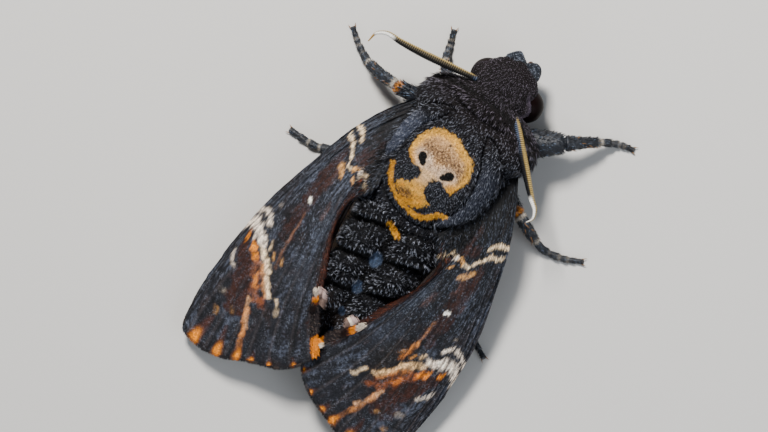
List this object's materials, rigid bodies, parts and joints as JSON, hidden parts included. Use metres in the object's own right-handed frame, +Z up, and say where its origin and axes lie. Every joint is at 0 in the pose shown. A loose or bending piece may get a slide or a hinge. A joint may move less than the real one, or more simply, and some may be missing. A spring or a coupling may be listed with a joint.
{
  "type": "death's head hawkmoth at rest",
  "caption": "Life-size still model of a death's head hawkmoth at rest, standing on its feet with its wings folded back over the body.",
  "frame": {"origin": "on the floor under the middle of the whole outline, legs included", "axes": "+Z up from the floor the moth stands on, +Y along the body towards the tail (the head looks along -Y), +X to the moth's left"},
  "size_m": [0.0552, 0.0736, 0.0165],
  "materials": {
    "head_fur": "short dark brown-black fur",
    "thorax_fur": "dark fur with the pale orange skull mark",
    "abdomen_fur": "black fluff speckled pale blue, yellow and black rings below",
    "shoulder_scales": "blue-black scales",
    "eye": "glossy dark red-brown compound eye",
    "palp_scales": "grey-blue scale tufts",
    "proboscis_horn": "dark brown horn",
    "antenna_gold": "olive gold rings, white near the hook",
    "forewing_scales": "mottled black-brown scales with cream bands and orange streaks",
    "hindwing_scales": "ochre yellow with black bands",
    "leg_black": "blue-black scales with cream bands and orange knees"
  },
  "bodies": {
    "root": {"head": "head_fur", "thorax": "thorax_fur", "abdomen": "abdomen_fur", "tegula_left": "shoulder_scales", "tegula_right": "shoulder_scales", "eye_left": "eye", "eye_right": "eye", "palp_left": "palp_scales", "palp_right": "palp_scales", "proboscis": "proboscis_horn", "antenna_left": "antenna_gold", "antenna_right": "antenna_gold", "forewing_left": "forewing_scales", "forewing_right": "forewing_scales", "hindwing_left": "hindwing_scales", "hindwing_right": "hindwing_scales", "leg_fore_left_femur": "leg_black", "leg_fore_left_tibia": "leg_black", "leg_fore_left_tarsus": "leg_black", "leg_fore_right_femur": "leg_black", "leg_fore_right_tibia": "leg_black", "leg_fore_right_tarsus": "leg_black", "leg_mid_left_femur": "leg_black", "leg_mid_left_tibia": "leg_black", "leg_mid_left_tarsus": "leg_black", "leg_mid_right_femur": "leg_black", "leg_mid_right_tibia": "leg_black", "leg_mid_right_tarsus": "leg_black", "leg_hind_left_femur": "leg_black", "leg_hind_left_tibia": "leg_black", "leg_hind_left_tarsus": "leg_black", "leg_hind_right_femur": "leg_black", "leg_hind_right_tibia": "leg_black", "leg_hind_right_tarsus": "leg_black"}
  },
  "joints": []
}
